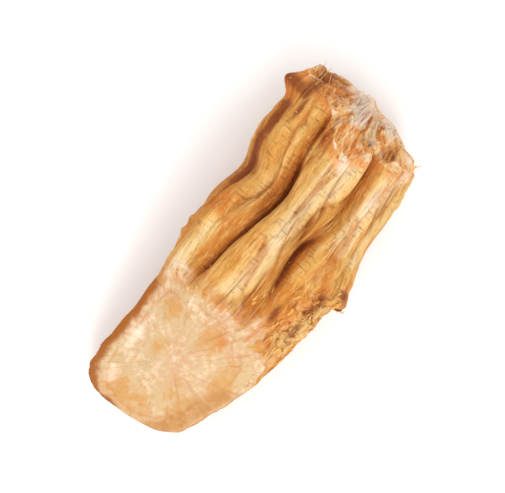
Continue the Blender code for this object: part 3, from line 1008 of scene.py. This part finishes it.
class Finish:
    """A new material on its Principled shader, and the methods that add nodes to it."""

    def __init__(self, name):
        self.material = bpy.data.materials.new(name)
        self.material.use_nodes = True
        self.tree = self.material.node_tree
        self.shader = self.tree.nodes["Principled BSDF"]

    def fill(self, node, sockets):
        """Links or plain values for a node's sockets, by name or number."""
        for slot, value in sockets.items():
            if isinstance(value, Value):
                self.tree.links.new(value.socket, node.inputs[slot])
            else:
                node.inputs[slot].default_value = value

    def node(self, kind, settings, sockets, output=0):
        """A node of that kind: its settings first, then its sockets."""
        node = self.tree.nodes.new(kind)
        for setting, value in settings.items():
            setattr(node, setting, value)
        self.fill(node, sockets)
        return Value(self, node.outputs[output])

    def mask(self, name):
        """The mask of that name, from the mesh."""
        return self.node("ShaderNodeAttribute", {"attribute_name": name}, {}, "Fac")

    def times(self, place, scale):
        """A place with each of its three parts multiplied."""
        return self.node("ShaderNodeVectorMath", {"operation": "MULTIPLY"}, {0: place, 1: scale})

    def flow(self, stretch):
        """The place on the drum, in millimetres, with the pattern stretched along the root."""
        place = self.node("ShaderNodeAttribute", {"attribute_name": "flow"}, {}, "Vector")
        return self.times(place, (1.0, 1.0, 1.0 / stretch))

    def millimetres(self):
        """Object coordinates in millimetres."""
        return self.times(self.node("ShaderNodeTexCoord", {}, {}, "Object"), (1.0 / MM,) * 3)

    def noise(self, place, pitch, detail=3.0, roughness=0.6):
        """Noise from 0 to 1 whose lumps are one pitch apart, in millimetres."""
        return self.node("ShaderNodeTexNoise", {}, {"Vector": place, "Scale": 1.0 / pitch,
                                                    "Detail": detail, "Roughness": roughness})

    def step(self, value, low, high):
        """0 below low, 1 above high and a soft step between."""
        return self.node("ShaderNodeMapRange", {"interpolation_type": "SMOOTHSTEP"},
                         {"Value": value, "From Min": low, "From Max": high})

    def mix(self, amount, colour, other):
        """The first colour where the amount is 0, the other where it is 1."""
        return self.node("ShaderNodeMix", {"data_type": "RGBA"}, {0: amount, 6: colour, 7: other}, 2)

    def lay(self, colour, *coats):
        """Tones laid over a colour in turn. A coat has a value, the low and high end of the soft
        step that it goes through, its share and its tone."""
        for value, low, high, share, tone in coats:
            colour = self.mix(share * self.step(value, low, high), colour, tone)
        return colour

    def bump(self, height, depth):
        """Normals for a height from 0 to 1 that stands for that many millimetres."""
        return self.node("ShaderNodeBump", {}, {"Height": height, "Distance": depth * MM,
                                                "Strength": 1.0})


print("shader helpers ready")

# %% [markdown]
# ## The root's colours
#
# The colours are those of good light: a golden bark between pale crests and orange hollows, dark
# red-brown where sap collected, cream flesh, and a chalky white where fibres are bleached. The pale tones
# also paint highlights, and the orange and red-brown ones also paint shade. They are given as a screen
# shows them, from 0 to 255, then made linear and lowered, because the studio light brightens them again,
# less so on the torn end, which looks away from the lamp.

# %% The root's colours
LIGHT_LEVEL = 1.25
DIM_LEVEL = 1.04


def tone(red, green, blue, light=LIGHT_LEVEL):
    """A screen colour made linear, by the screen's own curve, and divided by the light."""
    screen = np.array((red, green, blue)) / 255.0
    linear = np.where(screen <= 0.04045, screen / 12.92, ((screen + 0.055) / 1.055) ** 2.4)
    return (*(float(part) for part in linear / light), 1.0)


GOLD = tone(238, 178, 92)
HONEY = tone(220, 146, 58)
PALE = tone(254, 210, 134)
IVORY = tone(255, 230, 190)
AMBER_TONE = tone(216, 122, 34)
RUST_AND_SHADE_TONE = tone(146, 66, 10)
UMBER = tone(166, 86, 24)
FLESH = tone(221, 187, 140)
FLESH_ROSY = tone(222, 176, 134)
FLESH_OCHRE = tone(218, 160, 90)
FLESH_PALE = tone(248, 224, 192)
TAN = tone(196, 134, 74)
LIP_TONE = tone(206, 146, 80)
SKIN = tone(166, 90, 6)
STRAW = tone(228, 138, 62, DIM_LEVEL)
STRAW_GOLD = tone(250, 180, 104, DIM_LEVEL)
STRAW_PALE = tone(255, 208, 148, DIM_LEVEL)
STRAW_WHITE = tone(255, 230, 204, DIM_LEVEL)
# A paler tone for the pith: painted light for the torn end's steep middle, which lies in shade.
STRAW_PITH = tone(255, 214, 168, DIM_LEVEL)
CHALK_AND_HIGHLIGHT_TONE = tone(255, 232, 210, DIM_LEVEL)
print("gold bark, linear:", np.round(GOLD, 3))

# %% [markdown]
# ## The root's finish
#
# The shader lays the colours over each other as the masks say. Each mask's edge is broken up by
# noise, because a stain creeps along the grain and never ends in a clean line. Streaks and blotches
# vary the bark along its length, and short dark marks cross it where it shrank.

# %% The bark's colour
def bark_colour(finish, mask, noise):
    """Honey and gold, painted highlights on crests, fine streaks, then amber and red-brown stains and
    painted shade.
    """
    # Painted highlights on the ridges and crests, with the bark's own pale streaks.
    streaks_and_highlights = mask.bright + 0.45 * mask.crest + 0.9 * noise.fine + 0.5 * noise.coarse
    streaks_and_highlights = streaks_and_highlights + 0.6 * noise.hair
    # The hollows and creases add painted shade to the stains.
    amber = mask.amber + 0.3 * mask.groove + 0.8 * noise.fine + 0.4 * noise.coarse
    creased = mask.crease + 0.5 * noise.fine + 0.5 * noise.hair - 0.3 * mask.bright
    rust = mask.rust + 0.2 * mask.groove + 0.9 * noise.fine + 0.5 * noise.speck
    colour = finish.lay(
        HONEY,
        (noise.coarse + 0.7 * noise.blotch + 0.2 * noise.fine, 0.72, 1.12, 1.0, GOLD),
        (streaks_and_highlights, 1.2, 2.0, 1.0, PALE),
        (streaks_and_highlights, 1.7, 2.3, 0.85, IVORY),
        (amber, 0.8, 1.6, 0.85, AMBER_TONE),
        (creased, 0.6, 1.4, 0.7, AMBER_TONE),
        (mask.loose + 0.6 * noise.fine, 0.6, 1.2, 0.85, AMBER_TONE),
        (mask.loose + 1.2 * noise.speck + 0.5 * noise.grain, 1.5, 1.85, 0.8, PALE),
        (mask.loose - 1.5 * noise.speck - 0.6 * noise.fine, -0.12, 0.18, 0.85, RUST_AND_SHADE_TONE),
        (noise.hair + 0.3 * noise.fine, 0.66, 0.82, 0.5, PALE),
        (-1.0 * noise.hair - 0.4 * noise.fine, -0.66, -0.48, 0.4, UMBER),
    )
    colour = finish.mix(0.6 * noise.veins, colour, UMBER)
    colour = finish.mix(0.4 * noise.marks, colour, UMBER)
    return finish.lay(colour, (rust, 1.0, 1.65, 0.9, RUST_AND_SHADE_TONE))


print("the bark's coats lie over", np.round(HONEY, 3))

# %% [markdown]
# The strands of the torn end differ from straw to white, so its coats follow the mask of the
# strands and a noise of threads. The cut is cream flesh with rosy and ochre clouds and specks of pale
# starch, a ring of growth and a tan lip. These clouds have no grain, because the blade crossed it.

# %% The colours of the torn end and the flesh
def torn_colour(finish, mask, noise):
    """Strands from straw to white with threads in rays from the pith, brown in the hollows."""
    # The crests of the strands carry painted highlights.
    pale = 0.35 * mask.crest + 1.6 * noise.thread + 0.7 * mask.strand
    pale = pale + 0.6 * noise.speck
    # The hollows add painted shade to the stains.
    amber = mask.amber + 0.3 * mask.groove + 0.7 * noise.speck + 0.6 * noise.thread
    rust = mask.rust + 0.35 * mask.groove + 0.8 * noise.thread
    return finish.lay(
        STRAW,
        (pale, 1.02, 1.52, 1.0, STRAW_GOLD),
        (pale, 1.27, 1.72, 1.0, STRAW_PALE),
        (pale, 1.52, 2.12, 0.9, STRAW_WHITE),
        # Paler at the pith: painted light for the steep middle, which lies in shade.
        (mask.pith + 1.4 * noise.speck, 1.0, 1.8, 0.7, STRAW_PITH),
        (amber, 0.95, 1.5, 0.7, AMBER_TONE),
        (rust, 0.85, 1.5, 0.8, RUST_AND_SHADE_TONE),
    )


def flesh_colour(finish, mask, noise):
    """Cream with rosy and ochre clouds, pale starch, a ring of growth, rays and a tan lip."""
    plain = finish.millimetres()
    cloud = finish.noise(plain, 0.5, 4.0, 0.65)
    starch = finish.noise(plain, 0.2, 4.0, 0.65)
    lip = mask.lip + 0.9 * noise.speck + 0.7 * noise.fine + 1.2 * starch
    return finish.lay(
        FLESH,
        (finish.noise(plain, 1.2), 0.42, 0.58, 0.9, FLESH_ROSY),
        (0.6 * mask.golden + 1.8 * cloud + 0.6 * noise.speck, 1.2, 1.75, 0.9, FLESH_OCHRE),
        (1.2 * starch + 0.9 * cloud - 0.5 * mask.golden, 0.9, 1.4, 0.9, FLESH_PALE),
        (noise.fine + 0.5 * noise.hair, 0.76, 0.96, 0.5, TAN),
        (mask.growth_ring + 0.8 * noise.speck, 0.8, 1.5, 0.4, TAN),
        (mask.amber + 0.8 * noise.speck, 0.7, 1.3, 0.6, AMBER_TONE),
        (finish.noise(plain, 0.22, 1.0, 0.4), 0.66, 0.74, 0.5 * mask.cortex, AMBER_TONE),
        (lip, 1.5, 2.7, 0.85, LIP_TONE),
        (lip, 2.1, 2.7, 0.7, TAN),
        (mask.rust + 0.5 * noise.speck, 0.6, 1.1, 0.9, RUST_AND_SHADE_TONE),
    )


print("the torn end's coats lie over", np.round(STRAW, 3), "and the flesh's over", np.round(FLESH, 3))

# %% [markdown]
# The whole finish joins the three colours where the masks say, with chalky white, painted highlights
# and the line of bark on top. Fine grain and a bump give the dry, dusty surface. Roughness stays high, a
# little lower on the ridges with painted highlights. A slight glow under the surface is a constant.

# %% The root's finish
def root_noises(finish, plain, pith):
    """Noises with the grain and without, thin veins where one passes through its middle value,
    and short marks across the bark, the last two only in patches."""
    broken = finish.step(finish.noise(finish.flow(2.5), 1.2, 2.0, 0.5), 0.44, 0.6)
    shrunk = finish.step(finish.noise(finish.flow(1.4), 0.8, 2.0, 0.5), 0.42, 0.6)
    vein = 1.0 - 14.0 * abs(finish.noise(finish.flow(9.0), 0.42, 2.0, 0.5) - 0.5)
    rays = finish.noise(finish.flow(7.0), 0.13, 4.0, 0.65)
    return SimpleNamespace(
        coarse=finish.noise(finish.flow(7.0), 0.5, 3.0, 0.55),
        fine=finish.noise(finish.flow(8.0), 0.17, 4.0, 0.65),
        blotch=finish.noise(finish.flow(1.6), 1.1, 3.0, 0.55),
        grain=finish.noise(plain, 0.08, 3.0, 0.7),
        speck=finish.noise(plain, 0.3),
        hair=finish.noise(finish.flow(7.0), 0.075, 3.0, 0.7),
        thread=rays + pith * (finish.noise(plain, 0.13, 4.0, 0.65) - rays),
        veins=broken * finish.step(vein, 0.0, 0.8),
        marks=shrunk * finish.step(finish.noise(finish.flow(0.25), 0.26, 3.0, 0.65), 0.56, 0.7),
    )


def root_finish():
    """Bark, torn end and flesh mixed by their masks. The bump adds grain, the flesh's lumps, the
    bark's streaks less its veins and marks, and the torn end's threads."""
    finish = Finish("dried_root_bark_and_flesh")
    plain = finish.millimetres()
    mask = SimpleNamespace(**{name: finish.mask(name) for name in masks})
    noise = root_noises(finish, plain, mask.pith)
    torn = finish.step(mask.torn + 0.6 * noise.speck + 0.6 * noise.thread, 0.8, 1.3)
    border = (noise.speck - 0.5) + 1.2 * (noise.fine - 0.5) + 0.8 * (noise.blotch - 0.5)
    flesh = finish.step(mask.flesh + border, 0.2, 0.8)
    # Chalky places, partly painted highlights on the torn end and the ridges' ends.
    chalk = mask.chalk + 0.9 * noise.speck + 0.7 * noise.thread - 0.7 * mask.rust
    chalk = chalk + torn * (0.25 * mask.strand - 0.7 * mask.groove)
    colour = finish.mix(torn, bark_colour(finish, mask, noise), torn_colour(finish, mask, noise))
    colour = finish.mix(flesh, colour, flesh_colour(finish, mask, noise))
    colour = finish.lay(
        colour,
        (chalk, 1.1, 1.8, 0.75, CHALK_AND_HIGHLIGHT_TONE),
        (mask.skin_line + 0.6 * noise.speck, 0.6, 1.2, 0.95, SKIN),
    )
    streaked = 1.6 * (noise.fine - 0.5) + 1.0 * (noise.hair - 0.5)
    streaked = streaked - 0.4 * noise.veins - 0.4 * noise.marks
    height = (0.4 * noise.grain + 0.2 * finish.noise(plain, 0.035, 2.0, 0.6)
              + flesh * 0.5 * (finish.noise(plain, 0.18, 3.0, 0.7) - 0.5)
              + (1.0 - flesh) * (1.0 - 0.8 * mask.pith) * streaked
              + torn * 1.4 * (noise.thread - 0.5))
    finish.fill(finish.shader, {
        "Base Color": colour,
        "Roughness": 0.62 + 0.3 * noise.grain - 0.1 * mask.bright,
        "Normal": finish.bump(height, 0.1),
        "Subsurface Weight": 0.1,
        "Subsurface Scale": 0.25 * MM,
        "Specular IOR Level": 0.3,
    })
    return finish.material


root.data.materials.append(root_finish())
print("root finish has", len(root.data.materials[0].node_tree.nodes), "nodes")

# %% [markdown]
# ## Threads, flakes and crumbs
#
# Dried root sheds: torn fibres stick out at its broken end, thin flakes of bark peel off, and white
# starch dust lies in the furrows. Each such bit is a small tube along a short path, round or flattened,
# that closes in a tip at both ends. All the bits of a kind are worked out together as one array, so
# a kind is one mesh. They are placed on the root's own grid, where its normals say which way is out.

# %% Many small closed tubes
def unit(vectors):
    """Each vector divided by its own length."""
    return vectors / np.linalg.norm(vectors, axis=-1, keepdims=True)


def tubes(name, paths, thickness, up, flatness, sides):
    """Along each path a ring round every inner point, as wide as its thickness and flattened in
    the direction up; the path's two end points close the rings with fans."""
    count, steps = paths.shape[0], paths.shape[1] - 2
    ahead = unit(np.gradient(paths, axis=1))[:, 1:-1]
    level = unit(np.cross(up[:, None], ahead))
    upright = np.cross(ahead, level)
    turn = (np.arange(sides) * TURN / sides)[:, None]
    ring = np.cos(turn) * level[:, :, None] + flatness * np.sin(turn) * upright[:, :, None]
    rings = paths[:, 1:-1, None] + thickness[..., None, None] * ring
    each = steps * sides + 2
    tube_points = np.concatenate((rings.reshape(count, -1, 3), paths[:, [0, -1]]), axis=1)
    start = np.arange(count)[:, None, None] * each
    tips = np.concatenate((fan_faces(np.arange(sides)[::-1], each - 2),
                           fan_faces(np.arange(sides) + (steps - 1) * sides, each - 1)))
    return new_object(name, tube_points.reshape(-1, 3),
                      (grid_faces(steps, sides) + start).reshape(-1, 4), (tips + start).reshape(-1, 3))


def surface_frame(grid):
    """For each point of a grid: the way along the root, the way round it and the way out."""
    along = unit(np.gradient(grid, axis=0))
    out = unit(np.cross(np.roll(grid, -1, axis=1) - np.roll(grid, 1, axis=1), along))
    return along, np.cross(along, out), out


def pick(draw, likelihood, count):
    """Points of a grid drawn at random, each as often as its likelihood says: rows and columns."""
    chance = likelihood.ravel() / likelihood.sum()
    chosen = draw.choice(likelihood.size, count, replace=False, p=chance)
    return np.unravel_index(chosen, likelihood.shape)


def dress(piece, name, dark, light, pitch):
    """The piece rides on the root's body and wears a matt mottle of two tones."""
    finish = Finish(name)
    place = finish.millimetres()
    grain = finish.noise(place, 0.05)
    finish.fill(finish.shader, {
        "Base Color": finish.lay(dark, (finish.noise(place, pitch), 0.4, 0.6, 1.0, light)),
        "Roughness": 0.7 + 0.2 * grain,
        "Normal": finish.bump(grain, 0.02),
        "Specular IOR Level": 0.3,
    })
    piece.data.materials.append(finish.material)
    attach(piece, "root")


bark_along, bark_across, bark_out = surface_frame(bark_rows)
print("small pieces can start from", bark_out.shape[0] * bark_out.shape[1], "points of the bark")

# %% [markdown]
# ### Torn fibres
#
# Where the root was pulled apart, strands of its fibres came out of their neighbours and dried as
# pale, slightly curled threads. They run on from the root, so they point along it, spread a little,
# and taper. They end before they would make the piece longer or higher than it is. A hair system
# would grow them too, but its hairs would not be faces of the mesh.

# %% Torn fibres
FIBRE_SEED = 60
FIBRES = 110
FIBRE_STEPS = 5
LONGEST_REACH = cad_high[0] / MM + 0.06
HIGHEST_REACH = cad_high[2] / MM - 0.02


def torn_fibres():
    """Each path leaves the torn face along its heading and bends with the square of the share."""
    draw = np.random.default_rng(FIBRE_SEED)
    face = torn_rows[:30]
    row, column = pick(draw, ease((face[..., 2] - 1.6) / 1.2), FIBRES)
    root_at = face[row, column]
    spread = draw.normal(0.0, 1.0, (FIBRES, 3)) * (0.1, 0.2, 0.15)
    heading = unit(spread + (1.0, 0.0, 0.2))
    curl = draw.normal(0.0, 0.2, (FIBRES, 3)) * (0.0, 1.0, 1.0)
    ahead = (LONGEST_REACH - root_at[:, 0]) / heading[:, 0]
    above = (HIGHEST_REACH - root_at[:, 2]) / np.maximum(heading[:, 2] + curl[:, 2], 0.1)
    length = np.minimum(draw.uniform(0.1, 0.5, FIBRES), np.maximum(np.minimum(ahead, above), 0.04))
    share = np.linspace(-0.15, 1.0, FIBRE_STEPS + 2)[None, :, None]
    bent = share * heading[:, None] + share * share * curl[:, None]
    size = 0.012 + 0.035 * draw.uniform(0.0, 1.0, FIBRES) ** 3
    taper = np.linspace(1.0, 0.3, FIBRE_STEPS)
    up = unit(draw.normal(0.0, 1.0, (FIBRES, 3)))
    paths = root_at[:, None] + length[:, None, None] * bent
    return tubes("torn_fibres", paths, size[:, None] * taper, up, 0.7, 5)


dress(torn_fibres(), "dry_fibre", GOLD, PALE, 0.25)

# %% [markdown]
# ### Flakes of bark
#
# The bark flakes off where it was rubbed, on the crumbled right edge and along the panel's step. A
# flake could be a flat card, but that has no edge. It is a tube pressed flat, a blunt, ragged scrap
# that lies along the grain, with one end lifted from the bark.

# %% Flakes of bark
FLAKE_SEED = 61
FLAKES = 64
FLAKE_STEPS = 6


def bark_flakes():
    """Each path lies along the grain, wanders sideways and lifts with the square of the share."""
    draw = np.random.default_rng(FLAKE_SEED)
    upper = ease((bark_rows[..., 2] - 1.8) / 0.8)
    at_step = 0.25 * bell((bark_x - 0.6) / 0.3) * bell((bark_angle - math.radians(160)) / 0.4)
    row, column = pick(draw, upper * (crumbled(bark_angle, bark_x) + at_step), FLAKES)
    turn = draw.normal(0.0, 0.3, (FLAKES, 1))
    heading = np.cos(turn) * bark_along[row, column] + np.sin(turn) * bark_across[row, column]
    out = bark_out[row, column]
    length = draw.uniform(0.12, 0.42, FLAKES)[:, None, None]
    lift = draw.uniform(0.0, 0.06, FLAKES)[:, None, None]
    share = np.concatenate(([0.0], np.linspace(0.04, 0.96, FLAKE_STEPS), [1.0]))[None, :, None]
    sideways = np.cross(out, heading)[:, None] * draw.normal(0.0, 0.014, (FLAKES, FLAKE_STEPS + 2, 1))
    paths = (bark_rows[row, column][:, None] + (share - 0.5) * length * heading[:, None]
             + sideways + (0.004 + lift * share * share) * out[:, None])
    size = draw.uniform(0.02, 0.06, (FLAKES, 1))
    ragged = size * draw.uniform(0.5, 1.2, (FLAKES, FLAKE_STEPS))
    return tubes("bark_flakes", paths, ragged, out, 0.14, 6)


dress(bark_flakes(), "dry_bark_flake", HONEY, GOLD, 0.3)

# %% [markdown]
# ### Crumbs of starch
#
# The cut and the torn end shed white starch, which clings to the bark as crumbs a few hundredths of a
# millimetre across. They gather near the ends and in the furrows. They could be balls, but crumbs
# are uneven and so small that a short thick tube of three rings is enough.

# %% Crumbs of starch
CRUMB_SEED = 62
CRUMBS = 180
CRUMB_STEPS = 3


def starch_crumbs():
    """Each path is a short straight line just over the bark, thickest in its middle."""
    draw = np.random.default_rng(CRUMB_SEED)
    height = bark_rows[..., 2]
    near_ends = bell((bark_x - near) / 0.9) + bell((far - bark_x) / 0.7)
    furrowed = ease(-(height - 3.9) / 0.5) * ease((height - 3.0) / 0.3)
    likely = ease((height - 2.0) / 0.8) * (0.12 + near_ends + 0.3 * furrowed)
    row, column = pick(draw, likely, CRUMBS)
    out = bark_out[row, column]
    size = 0.01 + 0.02 * draw.uniform(0.0, 1.0, CRUMBS) ** 3
    heading = unit(draw.normal(0.0, 1.0, (CRUMBS, 3)))
    share = np.linspace(-1.0, 1.0, CRUMB_STEPS + 2)[None, :, None]
    lifted = share * heading[:, None] + 0.5 * out[:, None]
    paths = bark_rows[row, column][:, None] + size[:, None, None] * lifted
    round_off = np.array((0.8, 1.0, 0.75))
    up = unit(np.cross(heading, out) + 0.01)
    return tubes("starch_crumbs", paths, size[:, None] * round_off, up, 0.8, 6)


dress(starch_crumbs(), "starch", GOLD, FLESH, 0.2)

# %% [markdown]
# ## Floor and light
#
# The photo was taken on a white ground in soft light, with the brighter side towards the bottom of
# the picture. Lamps on all sides would wash the relief out. So a white sky gives the even fill, and
# one wide lamp low in the picture gives the form.

# %% Floor and light
SKY_STRENGTH = 1.25
KEY_POWER = 0.75
KEY_SIZE = 0.2
KEY_DISTANCE = 0.3
FLOOR_HALF = 1500.0
FLOOR_LEVEL = -0.02
FLOOR_COLOUR = (0.93, 0.93, 0.93, 1.0)
DOWN_IN_PICTURE = (-0.773, -0.635)

corners = np.array(((-1, -1, 0), (1, -1, 0), (1, 1, 0), (-1, 1, 0))) * FLOOR_HALF
floor = new_object("floor", corners + (0.0, 0.0, FLOOR_LEVEL), np.array([[0, 1, 2, 3]]), np.array([]))
white = Finish("floor_white")
white.fill(white.shader, {"Base Color": FLOOR_COLOUR, "Roughness": 0.9})
floor.data.materials.append(white.material)

world = bpy.data.worlds.new("soft_white")
world.use_nodes = True
world.node_tree.nodes["Background"].inputs["Color"].default_value = (1.0, 1.0, 1.0, 1.0)
world.node_tree.nodes["Background"].inputs["Strength"].default_value = SKY_STRENGTH
bpy.context.scene.world = world
bpy.context.scene.view_settings.view_transform = "Standard"

key_data = bpy.data.lights.new("key", "AREA")
key_data.size = KEY_SIZE
key_data.energy = KEY_POWER
key = show("key", key_data)
key.location = (*(KEY_DISTANCE * part for part in DOWN_IN_PICTURE), KEY_DISTANCE)
key.rotation_euler = (-key.location).to_track_quat("-Z", "Y").to_euler()
print("the lamp stands at, mm:", [round(part / MM) for part in key.location])

# %% [markdown]
# ## Camera
#
# The photo was taken from straight above, so the camera looks straight down, turned so that the root
# lies at its slant in the photo. The photo holds 0.235 mm to the pixel and is shown 7.5 times larger.
# A parallel view would flatten the root, so the lens is only long.

# %% Camera
WIDE_PX = 505
PHOTO_MM_PER_PX = 0.235
ENLARGED = 7.5
MM_PER_PX = PHOTO_MM_PER_PX / ENLARGED
SENSOR = 36.0
CAMERA_HEIGHT = 300.0
ROOT_MIDDLE = (0.374, 0.284, 2.0)

camera_data = bpy.data.cameras.new("camera")
camera_data.sensor_width = SENSOR
camera_data.lens = SENSOR * (CAMERA_HEIGHT - ROOT_MIDDLE[2]) / (WIDE_PX * MM_PER_PX)
camera_data.clip_start = 0.01
camera_data.clip_end = 10.0
camera = show("camera", camera_data)
camera.location = (ROOT_MIDDLE[0] * MM, ROOT_MIDDLE[1] * MM, CAMERA_HEIGHT * MM)
camera.rotation_euler = (0.0, 0.0, math.atan2(DOWN_IN_PICTURE[0], -DOWN_IN_PICTURE[1]))
bpy.context.scene.camera = camera
print("lens", round(camera_data.lens), "mm, a frame", round(WIDE_PX * MM_PER_PX, 1), "mm wide")
